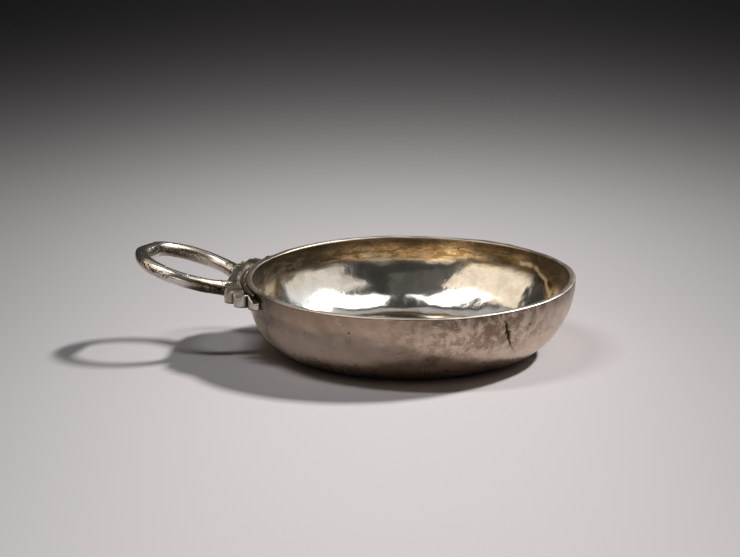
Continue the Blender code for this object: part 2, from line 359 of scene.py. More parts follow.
# %% The hammered surface
shell = turned(section, columns)
outward = turned(facing, columns)
inner_rows = is_inside > 0
work = np.zeros(shell.shape[:2])
work[inner_rows] = hammered(shell[inner_rows], True, 11)
work[~inner_rows] = hammered(shell[~inner_rows], False, 23)
near_base = ease(axis_distance(shell), BASE_RADIUS - 2 * MM, BASE_RADIUS + 3 * MM)
work *= np.where(inner_rows[:, None], 1.0, near_base)
torn = np.where(inner_rows[:, None], 0.0, tear(shell, columns))
torn *= outward[..., 2] < 0.4
bowl_points = bent_by_hand(shell - outward * (work + TEAR_GROOVE * torn)[..., None])
print("the deepest hammer mark is", round(work.max() / MM, 2), "mm")

# %% [markdown]
# ## Where the bowl is marked
# A finish has to know where it is: inside or outside, how deep below the rim, at the tear or at
# the joint. Each mark is a value from 0 to about 1 for every point, and the material reads it as
# an attribute. Most of them are bells along the turn round the bowl, faded in or out with depth.

# %% Helper: the distance to a line
def line_distance(places, line):
    """Distance in a plane to a line of straight lengths: to each length, the nearest point's
    share along it is the projection held between 0 and 1, and the least distance counts."""
    least = np.full(places.shape[:-1], np.inf)
    for start, stop in zip(line[:-1], line[1:]):
        run = stop - start
        share = np.clip((places - start) @ run / (run @ run), 0, 1)
        least = np.minimum(least, np.linalg.norm(places - start - share[..., None] * run, axis=-1))
    return least


# %% Where each point lies
depth_mark = np.clip((BOWL_HEIGHT - shell[..., 2]) / BOWL_HEIGHT, 0, 1)
inside_mark = np.broadcast_to(is_inside[:, None], depth_mark.shape)
outside_mark = 1 - inside_mark
crown_mark = ease(outward[..., 2], 0.2, 0.9) * (shell[..., 2] > BOWL_HEIGHT - 1.2 * CROWN)
spin = np.broadcast_to(columns, depth_mark.shape) - FRONT_TURN
spin = (spin + np.pi) % (2 * np.pi) - np.pi
from_back = (np.abs(spin) - np.pi) * np.sign(spin)
from_joint = np.abs(np.arctan2(shell[..., 1], -shell[..., 0]))
print(int(inside_mark[:, 0].sum()), "rows lie inside")

# %% Marks inside: amber stain, painted dark reflection on the right side, brushed left side and pale run
RUN_WIDTH = 0.50 * MM
amber_mark = inside_mark * bell(from_back, -0.22, 0.68, 4)
# Painted dark reflection on the upper part of the inside, at the right towards the back.
dusk_mark = inside_mark * bell(spin, 2.05, 0.29, 4) * ease(depth_mark, 0.46, 0.32)
brushed_mark = inside_mark * bell(spin, -2.15, 0.40, 4) * ease(depth_mark, 0.40, 0.62)
run_line = np.stack([np.radians(RUN_TURNS) * RIM_RADIUS, RUN_DEPTHS], -1)
run_place = np.stack([spin * RIM_RADIUS, BOWL_HEIGHT - shell[..., 2]], -1)
run_aside = line_distance(run_place, run_line) + 0.12 * MM * ripples(shell, 29, 2.2 * MM)
run_mark = inside_mark * bell(np.clip(run_aside, 0, None), 0, RUN_WIDTH, 4)
streaks = ease(ripples(shell * np.array([1.0, 1.0, 0.25]), 33, 3.4 * MM), -0.6, 1.6)
smeared = inside_mark * streaks * bell(spin, -2.05, 0.45, 4)
run_mark = run_mark + 0.20 * smeared * ease(depth_mark, 0.06, 0.30) * ease(depth_mark, 0.72, 0.45)
print("the run takes", int((run_mark > 0.5).sum()), "points")

# %% Marks outside: scuffs, dirt and painted shade at the joint, a darker crown at the right and back, the tear's stain, painted sheen on the sides and soot
HALO_SPREAD = 3.0
scuff_mark = np.maximum(bell(spin, 0.55, 0.55), 0.35 * (np.abs(spin + 0.4) > 0.9))
scuff_mark = outside_mark * scuff_mark * ease(depth_mark, 0.75, 0.45)
# Dirt and painted shade of the bracket on the wall and crown beside the joint, fading with depth below
# the rim.
joint_dirt_and_shade_mark = np.maximum(outside_mark, crown_mark) * (1 - ease(from_joint, 0.66, 0.78))
joint_dirt_and_shade_mark = joint_dirt_and_shade_mark * (1 - ease(depth_mark, 0.20, 0.42))
# The crown is also darker towards the right and back.
crown_darker_right_and_back = ease(spin, 0.95, 1.30) * ease(spin, 2.95, 2.50)
joint_dirt_and_shade_mark = np.maximum(joint_dirt_and_shade_mark, 0.85 * crown_mark * crown_darker_right_and_back)
halo_mark = outside_mark * tear(shell, columns, HALO_SPREAD)
halo_mark = halo_mark * ease(0.5 + 0.5 * ripples(shell, 35, 2.2 * MM), -0.4, 0.9)
# Painted sheen: a paler colour on the front left of the wall and high on the right side.
painted_sheen_mark = bell(spin, -0.80, 0.50) * ease(depth_mark, 0.26, 0.46) * ease(depth_mark, 0.74, 0.50)
painted_sheen_mark += 0.55 * bell(spin, 1.18, 0.34) * ease(depth_mark, 0.02, 0.20)
painted_sheen_mark *= outside_mark
soot_mark = outside_mark * bell(spin, 0.30, 0.24) * ease(depth_mark, 0.24, 0.05)
soot_mark = soot_mark * ease(ripples(shell, 34, 5.0 * MM), -1.4, 0.6)
print("the tear takes", int((torn > 0.5).sum()), "points")

# %% The bowl as a piece
bowl_ends = ((-LEAN, 0, WALL), (-LEAN, 0, UNDER_HOLLOW))
bowl = grid_piece("hammered_bowl", bowl_points, bowl_ends, inside=inside_mark, depth=depth_mark,
                  crown=crown_mark, tear=torn, amber=amber_mark, scuff=scuff_mark, joint=joint_dirt_and_shade_mark,
                  run=run_mark, dusk=dusk_mark, halo=halo_mark, pale=painted_sheen_mark, soot=soot_mark,
                  brushed=brushed_mark)
dress(bowl, "worn_silver", "bowl")

# %% [markdown]
# ## The finger ring
# The ring is one length of round wire, bent to an egg-shaped bow. A tube along a path is the
# natural formula: a circle, carried along the bow, whose radius swells and shrinks. The bow lies
# in a plane that rises away from the bowl. Its two arms run on into the bracket, where the real
# ones are soldered. The tip is thicker on its inner side, a file has left one flat there, and old
# casting pits show on both arms.

# %% Path of the bow
RING_TILT = math.radians(15.1)
RING_HALF = 11.9 * MM
RING_TIP = 11.7 * MM
RING_ROOT = 14.08 * MM
RING_CENTRE = -ring_high.x + 9.4 * MM
RING_HEIGHT = BOWL_HEIGHT + 0.45 * MM
RING_ROWS = 421
BOW_TURN = math.radians(152)
along_ring = np.array([math.cos(RING_TILT), 0.0, -math.sin(RING_TILT)])
across_ring = np.array([0.0, 1.0, 0.0])
above_ring = np.array([math.sin(RING_TILT), 0.0, math.cos(RING_TILT)])


def bow_path(count):
    """Half an ellipse round the tip and the longer half towards the bracket, past its face:
    the way along is −reach · cos t and the way across is half · sin t."""
    turn = np.linspace(-1, 1, count) * BOW_TURN
    reach = np.where(np.cos(turn) > 0, RING_TIP, RING_ROOT)
    flat = np.stack([-reach * np.cos(turn), RING_HALF * np.sin(turn)], -1)
    middle = np.array([-RING_CENTRE, 0.0, RING_HEIGHT])
    return middle + flat[:, :1] * along_ring + flat[:, 1:] * across_ring


path = bow_path(RING_ROWS)
print("the bow runs from x =", round(path[0, 0] / MM, 1), "to x =", round(path[:, 0].min() / MM, 1))

# %% Wire round the path, with its swellings
RING_SPOKES = 64
TIP_ROW = 226
TIP_SPREAD = 36
TIP_SWELL = 0.85
ROOT_SWELL = 0.14
rows = np.arange(RING_ROWS)[:, None]
tangent = np.gradient(path, axis=0)
tangent /= np.linalg.norm(tangent, axis=1, keepdims=True)
inward = np.cross(tangent, above_ring)
around = np.linspace(0, 2 * np.pi, RING_SPOKES, endpoint=False)
inner, upper = np.cos(around), np.sin(around)
spoke = inner[:, None] * inward[:, None] + upper[:, None] * above_ring
even_wire = path[:, None] + WIRE_RADIUS * spoke
to_bracket = ease(path[:, 0], -BRACKET_FRONT - 2.2 * MM, -BRACKET_FRONT + 0.2 * MM)
swell = uneven(even_wire, 31, (0.018, 9 * MM), (0.006, 3 * MM))
swell = swell + TIP_SWELL * bell(rows, TIP_ROW, TIP_SPREAD) * np.clip(inner, 0, None) ** 1.2
swell = swell + ROOT_SWELL * to_bracket[:, None] * (1 - upper) / 2
print("the tip's wire reaches", round(WIRE_RADIUS * (1 + swell.max()) / MM, 2), "mm inwards")

# %% Casting pits on the two arms
PITS = 64
NEAR_PITS = 26
GOLDEN_SHARE = 0.6180339887
PIT_DEPTH = 0.16 * MM
dice = np.random.default_rng(37)
on_near_arm = np.arange(PITS) < NEAR_PITS
spread = (np.arange(PITS) * GOLDEN_SHARE) % 1
pit_rows = np.where(on_near_arm, 0.255 + 0.125 * spread, 0.60 + 0.22 * spread) * RING_ROWS
near_turns = dice.normal(math.pi - 0.06, 0.13, PITS)
far_turns = dice.normal(0.10, 0.32, PITS)
pit_turns = np.where(on_near_arm, near_turns, far_turns)
pit_spokes = (np.round(pit_turns / (2 * np.pi) * RING_SPOKES) % RING_SPOKES).astype(int)
near_sizes = dice.uniform(0.16, 0.42, PITS)
far_sizes = dice.uniform(0.12, 0.26, PITS)
pit_sizes = np.where(on_near_arm, near_sizes, far_sizes) * MM
pits = blows(even_wire, even_wire[pit_rows.astype(int), pit_spokes], pit_sizes, np.ones(PITS))
pits = np.clip(pits, 0, 1)
print(PITS, "pits,", NEAR_PITS, "of them on the near arm")


# %% The worn ring
def filed_flat(reach, spokes, middle, width, flat_way, cut):
    """A file's flat along the wire: where a spoke points along the flat's direction, its reach is
    at most cut / cos, and the flat fades out over a few rows to both sides of its middle."""
    here = 1 - ease(np.abs(np.arange(len(reach)) - middle), 0.82 * width, width)
    limit = cut / np.clip(spokes @ flat_way, 0.05, None)
    return reach + (np.minimum(reach, limit) - reach) * here[:, None]


FLAT_ROW = 233
FLAT_ROWS = 27
FLAT_CUT = 1.36 * MM
NEAR_PAINTED_SHADE = (46, 30)
FAR_PAINTED_SHADE = (292, 50)
flat_way = above_ring * 0.80 - along_ring * 0.55 + across_ring * 0.24
round_reach = WIRE_RADIUS * (1 + swell)
wire_reach = filed_flat(round_reach, spoke, FLAT_ROW, FLAT_ROWS, flat_way, FLAT_CUT)
flat_mark = ease((round_reach - wire_reach) / MM, 0.02, 0.10)
ring_points = path[:, None] + spoke * (wire_reach - PIT_DEPTH * pits)[..., None]
# Painted shade on the lower side of the near arm by the bracket and on the lower inner side of the far
# arm.
near_dull = bell(rows, *NEAR_PAINTED_SHADE, 4) * ease(upper, 0.80, 0.45) * (inner < 0.5)
far_dull = bell(rows, *FAR_PAINTED_SHADE, 4) * ease(upper, 0.72, 0.45) * (inner > -0.5)
ring = grid_piece("finger_ring", ring_points, (path[0], path[-1]), pitted=pits,
                  dull=near_dull + 0.7 * far_dull, filed=flat_mark)
dress(ring, "wire_silver", "handle_ring")

# %% [markdown]
# ## The lobed bracket
# The bracket is cast as one piece: a plate that fits the wall, with three lobes to each side like
# the edge of a shell, a hollow flute in every lobe and a low ridge behind the ring. It could be
# cut from a block, but then the flutes' soft floors are hard to get. Here spokes run from the
# wall to the lobed edge, and each spoke carries a closed section whose top follows the flute.

# %% Spokes of the bracket in plan
LOBES = 3
LOBE_RADII = np.array([2.10, 2.28, 2.50]) * MM
LOBE_ARC = 10.9 * MM
LOBE_PITCH = math.radians(23.5)
LOBE_FIRST = math.radians(29.0)
LOBE_SPOKES = 24
FAN_ALONG = RIM_RADIUS - 8.0 * MM
FAN_ASIDE = 8.4 * MM
SEAT_RADIUS = RIM_RADIUS + 0.05 * MM
NECK_HALF = 10.6 * MM
NECK_SPOKES = 30
RIDGE_RADIUS = 42.1 * MM


def lobe_of(turn):
    """The angle from the middle of the lobe that this direction of the fan falls in, and the
    lobe's radius."""
    index = np.clip(np.round((turn - LOBE_FIRST) / LOBE_PITCH), 0, LOBES - 1).astype(int)
    return turn - (LOBE_FIRST + index * LOBE_PITCH), LOBE_RADII[index]


def lobe_edge(turn):
    """Distance from the fan's centre to the edge: a circle of the lobe's radius set on the arc."""
    aside, radius = lobe_of(turn)
    reach = np.sqrt(np.clip(radius ** 2 - (LOBE_ARC * np.sin(aside)) ** 2, 0, None))
    return LOBE_ARC * np.cos(aside) + reach


def bracket_spokes():
    """Start on the wall, end on the edge, and the fan's angle, for spokes over one half: straight
    ones behind the ring, then rays of the fan, each from the wall's circle to the lobed edge."""
    aside = np.linspace(0, NECK_HALF, NECK_SPOKES)
    neck_start = np.stack([np.sqrt(SEAT_RADIUS ** 2 - aside ** 2), aside], -1)
    neck_end = np.stack([np.full(NECK_SPOKES, BRACKET_FRONT), aside], -1)
    turn = LOBE_FIRST + LOBE_PITCH * (np.linspace(0, LOBES, LOBE_SPOKES * LOBES + 1) - 0.5)
    ray = np.stack([np.cos(turn), np.sin(turn)], -1)
    centre = np.array([FAN_ALONG, FAN_ASIDE])
    edge = centre + lobe_edge(turn)[:, None] * ray
    along = ray @ centre
    start = centre + (np.sqrt(along ** 2 + SEAT_RADIUS ** 2 - centre @ centre) - along)[:, None] * ray
    proud = axis_distance(edge) > SEAT_RADIUS + 0.1 * MM
    proud &= np.cumsum(~proud & (turn > LOBE_FIRST + 2 * LOBE_PITCH)) == 0
    starts = np.concatenate([neck_start, start[proud]])
    ends = np.concatenate([neck_end, edge[proud]])
    turns = np.concatenate([np.full(NECK_SPOKES, np.nan), turn[proud]])
    return starts, ends, turns


starts, ends, fan_turns = bracket_spokes()
mirror = np.array([1.0, -1.0])
starts = np.concatenate([(starts * mirror)[:0:-1], starts])
ends = np.concatenate([(ends * mirror)[:0:-1], ends])
fan_turns = np.concatenate([fan_turns[:0:-1], fan_turns])
print(len(starts), "spokes, the last one ends at", np.round(ends[-1] / MM, 1), "mm in plan")

# %% Top and section of the bracket
FLUTE_DEPTH = 1.15 * MM
CHANNEL_RADIUS = 0.75 * MM
CHANNEL_SHARE = 0.8
RIDGE_HALF = 1.1 * MM


def bracket_top(plan, turns):
    """Height of the top: the plate, less the flutes, less the channel along the wall, plus the
    ridge, a tent. A flute deepens towards the edge as 1 − (across / half width)², behind a lip."""
    radius = axis_distance(plan)
    beside = np.abs(plan[..., 1])
    out = np.hypot(plan[..., 0] - FAN_ALONG, beside - FAN_ASIDE)
    angle = np.nan_to_num(turns, nan=LOBE_FIRST - LOBE_PITCH / 2)[:, None]
    aside, lobe_radius = lobe_of(angle)
    across = out * np.sin(aside) / ((lobe_radius - 0.35 * MM) * out / (LOBE_ARC + lobe_radius))
    hollow = np.clip(1 - across ** 2, 0, None) * ease(out, 3 * MM, 8.6 * MM)
    lip = 1 - 0.12 * ease(out, lobe_edge(angle) - 0.75 * MM, lobe_edge(angle) - 0.15 * MM)
    flute = FLUTE_DEPTH * hollow * lip * np.isfinite(turns)[:, None]
    past_wall = radius - RIM_RADIUS - CHANNEL_RADIUS
    channel = np.sqrt(np.clip(CHANNEL_RADIUS ** 2 - past_wall ** 2, 0, None))
    ridge = RIDGE_RISE * np.clip(1 - np.abs(radius - RIDGE_RADIUS) / RIDGE_HALF, 0, None)
    ridge = ridge * (1 - ease(beside, 8 * MM, 10.5 * MM))
    return BRACKET_TOP - flute - CHANNEL_SHARE * channel + ridge


def bracket_section(count_top, count_side):
    """A closed loop of shares: how far along the spoke, and how far down from top to bottom, with
    the inset and drop of a quarter round at the outer edge. Order of the six lengths: back, top,
    upper round, front, lower round and bottom."""
    top = np.linspace(0, 1, count_top) ** 0.9
    round_turn = np.linspace(0, np.pi / 2, 6)[1:]
    back = np.linspace(1, 0, 5)[:-1]
    side = np.linspace(0, 1, count_side)[1:-1]
    bottom = np.linspace(1, 0, 9)[1:-1]
    zeros, ones = np.zeros, np.ones
    over, under = 1 - np.sin(round_turn), 1 - np.cos(round_turn)
    share = [zeros(back.size), top, ones(under.size), ones(side.size), ones(under.size), bottom]
    down = [back, zeros(top.size), zeros(under.size), side, ones(under.size), ones(bottom.size)]
    inset = [zeros(back.size), top ** 40, over, zeros(side.size), under, ones(bottom.size)]
    fall = [zeros(back.size + top.size), under, ones(side.size), zeros(under.size + bottom.size)]
    return [np.concatenate(lengths) for lengths in (share, down, inset, fall)]


# %% The cast bracket
ROUND = 0.30 * MM
share, down, inset, fall = (values[None] for values in bracket_section(count_top=30, count_side=7))
length = np.linalg.norm(ends - starts, axis=1)[:, None]
way = (ends - starts) / length
reach = share * length - ROUND * inset * (share > 0.2)
plan = starts[:, None] + reach[..., None] * way[:, None]
top = bracket_top(plan, fan_turns)
height = top - ROUND * fall * (down < 0.01) - (top - BRACKET_BOTTOM) * down
bracket_points = np.concatenate([-plan[..., :1], plan[..., 1:], height[..., None]], -1)
rough = uneven(bracket_points, 51, (0.05 * MM, 3.5 * MM), (0.02 * MM, 1.3 * MM))
bracket_points[..., 2] += rough * (down < 0.5)
print("the bracket's top stands", round(bracket_points[..., 2].max() / MM, 1), "mm high")

# %% Marks of the bracket: hollows, valleys between lobes, and edges bright from rubbing and from a painted highlight
CREST_HIGHLIGHT_WIDTH = 0.16 * MM
on_fan = np.isfinite(fan_turns)[:, None]
on_edge = (share > 0.99) * (down < 0.99)
on_top = (down < 0.01) * ease(length - reach, 0.16 * MM, 0.42 * MM)
hollow_mark = on_top * np.maximum(np.clip((BRACKET_TOP - top) / (0.7 * MM), 0, 1), 0.6 * on_fan)
lobe_aside = np.abs(lobe_of(np.nan_to_num(fan_turns, nan=LOBE_FIRST))[0]) / (LOBE_PITCH / 2)
valley_mark = ease(lobe_aside, 0.62, 0.84)[:, None] * on_edge * (down > 0.01)
# A painted highlight along the ridge's crest, and on the bracket's outer faces, which are also rubbed,
# except in the valleys.
crest_highlight_mark = bell(axis_distance(plan), RIDGE_RADIUS, CREST_HIGHLIGHT_WIDTH) * on_top
crest_highlight_mark = crest_highlight_mark * (np.abs(plan[..., 1]) < 9.5 * MM)
rubbed_and_highlit_mark = np.maximum(crest_highlight_mark, on_edge * (1 - valley_mark))
bracket_ends = (bracket_points[0].mean(0), bracket_points[-1].mean(0))
bracket = grid_piece("lobed_bracket", bracket_points, bracket_ends, hollow=hollow_mark,
                     valley=valley_mark, bright=rubbed_and_highlit_mark)
dress(bracket, "cast_silver", "shell_bracket")

# %% [markdown]
# ## Hard solder
# Solder runs into a joint and freezes with a soft, lumpy face. Along the wall it is a bead: a
# tube on an arc whose radius wanders. Round each arm it is a fillet: a small hollow-sided ring
# that is wide on the bracket and thin on the wire.

# %% Bead along the wall
BEAD_ROWS = 161
BEAD_SPOKES = 18
BEAD_HALF_TURN = math.asin(19.5 / 40.75)
BEAD_MIDDLE = 40.55 * MM
BEAD_RADIUS = 0.55 * MM
bead_share = np.linspace(-1, 1, BEAD_ROWS)
bead_turn = bead_share * BEAD_HALF_TURN
bead_out = np.stack([-np.cos(bead_turn), np.sin(bead_turn), np.zeros(BEAD_ROWS)], -1)
bead_path = BEAD_MIDDLE * bead_out + (BRACKET_TOP - 0.12 * MM) * up
bead_round = np.linspace(0, 2 * np.pi, BEAD_SPOKES, endpoint=False)[None, :, None]
bead_spoke = np.cos(bead_round) * bead_out[:, None] + np.sin(bead_round) * up
even_bead = bead_path[:, None] + BEAD_RADIUS * bead_spoke
lumps = uneven(even_bead, 61, (0.12, 2.4 * MM), (0.06, 0.9 * MM))
taper = np.sqrt(np.clip(1 - bead_share ** 12, 0.05, 1))
bead_points = bead_path[:, None] + BEAD_RADIUS * bead_spoke * (taper[:, None] * (1 + lumps))[..., None]
bead = grid_piece("wall_bead", bead_points, (bead_path[0], bead_path[-1]))
dress(bead, "solder_grey", "wall_solder")

# %% Fillets round the two arms
FILLET_ROWS = 17
FILLET_SUNK = 4
FILLET_WIDTH = 0.26 * MM
FILLET_EDGE = 0.01 * MM
half_way = RING_ROWS // 2


def arm_fillet(name, half, step, seed):
    """A ring round one arm where it meets the bracket. Its section has four sides: inside the
    wire, on the bracket, a hollow curve r + width · (1 − s)² up the wire, and back."""
    start = half.start + int(np.argmin(np.abs(path[half, 0] + BRACKET_FRONT)))
    climb = np.linspace(0, 1, 9)
    rise = np.round(climb * FILLET_ROWS - FILLET_SUNK).astype(int)
    steps = np.clip(start + step * rise, 0, RING_ROWS - 1)
    lift = FILLET_WIDTH * (1 - climb) ** 2 + FILLET_EDGE
    lower = (1.15 - upper) / 2.15
    swollen = (WIRE_RADIUS * 1.02 + lift[:, None] * lower[None])[..., None]
    body = path[steps][:, None] + spoke[steps] * swollen
    core = path[steps][::-1][:, None] + spoke[steps][::-1] * WIRE_RADIUS * 0.8
    points = np.concatenate([body, core])
    lump = 0.03 * MM * ripples(points, seed, 1.6 * MM)
    facing_out = points - np.concatenate([path[steps], path[steps][::-1]])[:, None]
    facing_out /= np.linalg.norm(facing_out, axis=-1, keepdims=True)
    return grid_piece(name, points + facing_out * lump[..., None], loop=True)


front_fillet = arm_fillet("arm_fillet_front", slice(0, half_way), 1, 71)
dress(front_fillet, "solder_grey", "ring_solder_front")
back_fillet = arm_fillet("arm_fillet_back", slice(half_way, RING_ROWS), -1, 72)
dress(back_fillet, "solder_grey", "ring_solder_back")

# %% [markdown]
# ## Shared marks of age
# Silver darkens where sulphur reaches it, and use rubs it bright again. Three effects come back from
# finish to finish, so each is a node group: clouds of tarnish, hair scratches and pits. A group gives
# masks that change over the surface, and every material decides what they mean for it.

# %% Helpers: nodes, links and groups
def feed(socket, item):
    """Links another node's socket to this one, or sets a plain value on it."""
    if isinstance(item, bpy.types.NodeSocket):
        socket.id_data.links.new(item, socket)
    else:
        socket.default_value = item


def put(tree, kind, settings=None, **values):
    """A node with some settings, and what feeds its inputs, by name or by number as i0, i1, i2."""
    node = tree.nodes.new(kind)
    for key, value in (settings or {}).items():
        setattr(node, key, value)
    for key, value in values.items():
        numbered = key[0] == "i" and key[1:].isdigit()
        feed(node.inputs[int(key[1:]) if numbered else key], value)
    return node


def new_group(name, inputs, outputs):
    """An empty shader node group with these inputs (name: default) and value outputs. It gives the
    tree, the sockets that come in and the sockets that go out."""
    tree = bpy.data.node_groups.new(name, "ShaderNodeTree")
    for label, value in inputs.items():
        kind = "NodeSocketVector" if label == "Place" else "NodeSocketFloat"
        socket = tree.interface.new_socket(label, in_out="INPUT", socket_type=kind)
        if value is not None:
            socket.default_value = value
    for label in outputs:
        tree.interface.new_socket(label, in_out="OUTPUT", socket_type="NodeSocketFloat")
    print("group", name, "gives", ", ".join(outputs))
    return tree, tree.nodes.new("NodeGroupInput").outputs, tree.nodes.new("NodeGroupOutput").inputs


# %% Helpers: sums, steps and mixed colours
def tree_of(*items):
    """The node tree of the first socket among these items."""
    return next(item.id_data for item in items if isinstance(item, bpy.types.NodeSocket))


def reckon(operation, one, two, clamp=False):
    """One step of arithmetic on values or sockets."""
    settings = {"operation": operation, "use_clamp": clamp}
    return put(tree_of(one, two), "ShaderNodeMath", settings, i0=one, i1=two).outputs[0]


plus, less = partial(reckon, "ADD"), partial(reckon, "SUBTRACT")
times, most = partial(reckon, "MULTIPLY"), partial(reckon, "MAXIMUM")


def summed(base, *terms):
    """The base plus each mark times its strength."""
    for mark, strength in terms:
        base = plus(base, times(mark, strength))
    return base


def step(value, low, high, to_low=0.0, to_high=1.0):
    """A smooth step from to_low, where the value is low, to to_high, where it is high."""
    settings = {"interpolation_type": "SMOOTHSTEP"}
    node = put(tree_of(value), "ShaderNodeMapRange", settings,
               i0=value, i1=low, i2=high, i3=to_low, i4=to_high)
    return node.outputs[0]


def tint(share, one, two):
    """Colour one where the share is 0 and colour two where it is 1."""
    one, two = ((*item, 1.0) if isinstance(item, tuple) else item for item in (one, two))
    node = put(tree_of(share), "ShaderNodeMix", {"data_type": "RGBA"}, i0=share, i6=one, i7=two)
    return node.outputs[2]


# %% Tarnish clouds
FINER = 7.0
cloud_inputs = {"Place": None, "Size": 100.0, "Low": 0.4, "High": 0.65}
clouds, given, gives = new_group("tarnish_clouds", cloud_inputs, ["Cloud", "Grain"])
slow_noise = put(clouds, "ShaderNodeTexNoise", Vector=given["Place"], Scale=given["Size"],
                 Detail=6.0, Roughness=0.62, Distortion=0.12)
fine_noise = put(clouds, "ShaderNodeTexNoise", Vector=given["Place"], Scale=times(given["Size"], FINER),
                 Detail=4.0, Roughness=0.7)
feed(gives["Cloud"], step(slow_noise.outputs[0], given["Low"], given["High"]))
feed(gives["Grain"], fine_noise.outputs[0])

# %% Hair scratches
SCRATCH_TURNS = ((0.3, 0.5, 0.2), (1.2, -0.4, 1.1), (-0.6, 0.9, 2.2))
SCRATCH_SCALE = (90.0, 2600.0, 2600.0)
PATCH_SCALE = 180.0
scratch_inputs = {"Place": None, "Share": 0.5}
scratches, given, gives = new_group("hair_scratches", scratch_inputs, ["Scratch"])
lines = []
for turn in SCRATCH_TURNS:
    drawn = put(scratches, "ShaderNodeMapping", Vector=given["Place"], Rotation=turn, Scale=SCRATCH_SCALE)
    streak = put(scratches, "ShaderNodeTexNoise", Vector=drawn.outputs[0], Scale=1.0, Detail=1.0,
                 Roughness=0.4, Distortion=0.15)
    lines.append(step(streak.outputs[0], 0.66, 0.74))
patch = put(scratches, "ShaderNodeTexNoise", Vector=given["Place"], Scale=PATCH_SCALE, Detail=2.0)
patchy = times(step(patch.outputs[0], 0.40, 0.62), given["Share"])
feed(gives["Scratch"], times(most(most(lines[0], lines[1]), lines[2]), patchy))

# %% Small pits
PIT_FLOOR = 0.04
pit_inputs = {"Place": None, "Size": 700.0, "Share": 0.2, "Width": 0.28}
pit_group, given, gives = new_group("small_pits", pit_inputs, ["Pit"])
cells = put(pit_group, "ShaderNodeTexVoronoi", Vector=given["Place"], Scale=given["Size"])
hole = step(cells.outputs["Distance"], given["Width"], PIT_FLOOR)
lot = put(pit_group, "ShaderNodeSeparateColor", Color=cells.outputs["Color"]).outputs[0]
feed(gives["Pit"], times(hole, reckon("LESS_THAN", lot, given["Share"])))


# %% Helpers: the start, the layers and the end of a finish
def shader_of(material):
    """The one shader of a material."""
    return material.node_tree.nodes["Principled BSDF"]


def silver_finish(name):
    """A fully metallic material, with its node tree and its object coordinates at hand."""
    material = bpy.data.materials.new(name)
    material.use_nodes = True
    shader_of(material).inputs["Metallic"].default_value = 1.0
    tree = material.node_tree
    return material, tree, put(tree, "ShaderNodeTexCoord").outputs["Object"]


def mark_of(tree, name):
    """The value that the piece stores under this name."""
    return put(tree, "ShaderNodeAttribute", {"attribute_name": name}).outputs["Fac"]


def group_at(place, group, **values):
    """The sockets that come out of a group, which is put in the same tree as the place."""
    settings = {"node_tree": group}
    return put(tree_of(place), "ShaderNodeGroup", settings, Place=place, **values).outputs


def layered(colour, layers):
    """The colour under these layers, each a word for it, the share that it takes and its colour."""
    for _, share, paint in layers:
        colour = tint(share, colour, paint)
    print("layers:", ", ".join(layer[0] for layer in layers))
    return colour


def apply_finish(material, pieces, colour, roughness, relief, depth):
    """Feeds the material's shader, with the relief as a bump of this depth, and dresses the pieces."""
    shader = shader_of(material)
    feed(shader.inputs["Base Color"], colour)
    feed(shader.inputs["Roughness"], roughness)
    bumped = put(material.node_tree, "ShaderNodeBump", Height=relief, Distance=depth)
    feed(shader.inputs["Normal"], bumped.outputs[0])
    for piece in pieces:
        piece.data.materials.append(material)
    print(material.name, "on", ", ".join(piece.name for piece in pieces))


# %% [markdown]
# ## The bowl's finish
# The inside is the brighter face, because it was wiped after each tasting: pale silver with a
# golden stain below the rim, dark wisps in the stain, a brushed left side and one pale run, and
# a painted dark reflection below the rim and on the right side. The outside has gone to a warm
# taupe, with lighter scuffs where it was handled, soot below the rim and a brown stain along the
# tear; it also carries a painted sheen on its sides, painted shade at the base, and dirt with
# painted shade beside the bracket. One material covers both and lets the piece's own marks choose.

# %% Worn silver: the marks and textures that it reads
worn, tree, place = silver_finish("worn_silver_aged")
inside, depth, crown = (mark_of(tree, name) for name in ("inside", "depth", "crown"))
scuff, brushed, run = (mark_of(tree, name) for name in ("scuff", "brushed", "run"))
tear_mark, joint = (mark_of(tree, name) for name in ("tear", "joint"))
wide = group_at(place, clouds, Size=70.0, Low=0.38, High=0.66)["Cloud"]
close = group_at(place, clouds, Size=230.0, Low=0.42, High=0.62)
mottle = group_at(place, clouds, Size=400.0, Low=0.39, High=0.63)["Cloud"]
fewer = summed(less(1.0, times(inside, 0.75)), (brushed, 0.75))
fewer = times(fewer, step(depth, 0.55, 0.72, 1.0, 0.0))
hair = group_at(place, scratches, Share=fewer)["Scratch"]
pit = group_at(place, pit_group, Size=620.0, Share=0.03, Width=0.24)["Pit"]
drawn_out = put(tree, "ShaderNodeMapping", Vector=place, Scale=(1.0, 1.0, 4.5)).outputs[0]
bands = group_at(drawn_out, clouds, Size=95.0, Low=0.40, High=0.60)["Cloud"]
wisps = group_at(drawn_out, clouds, Size=240.0, Low=0.42, High=0.62)["Cloud"]
print(worn.name, "has", len(tree.nodes), "nodes so far")

# %% Worn silver: colour of the inside
stain_band = step(depth, 0.38, 0.24)
stain = times(stain_band, step(wisps, 0.0, 0.6, 0.82, 1.0))
golden = times(mark_of(tree, "amber"), step(bands, 0.0, 0.8, 0.36, 1.0))
stain_colour = tint(golden, (0.130, 0.100, 0.060), (0.89, 0.545, 0.225))
clean_colour = tint(close["Cloud"], (0.84, 0.79, 0.72), (0.70, 0.66, 0.60))
wisp_dark = times(stain_band, step(wisps, 0.35, 0.95, 0.0, 0.55))
# Dark wisps in the stain, with the painted dark reflection on the right side and a painted dark
# reflection all round just below the rim.
dusky = most(wisp_dark, times(mark_of(tree, "dusk"), 0.88))
dusky = most(dusky, times(step(depth, 0.16, 0.055), 0.85))
inner_colour = layered(clean_colour, (
    ("scratches", times(hair, 1.2, True), (0.46, 0.42, 0.37)),
    ("brushed side", times(brushed, 0.75), (0.92, 0.97, 1.0)),
    ("stain", stain, stain_colour),
    ("dusk", dusky, (0.105, 0.072, 0.040)),
    ("pale run", times(run, 0.9), (0.80, 0.67, 0.47))))

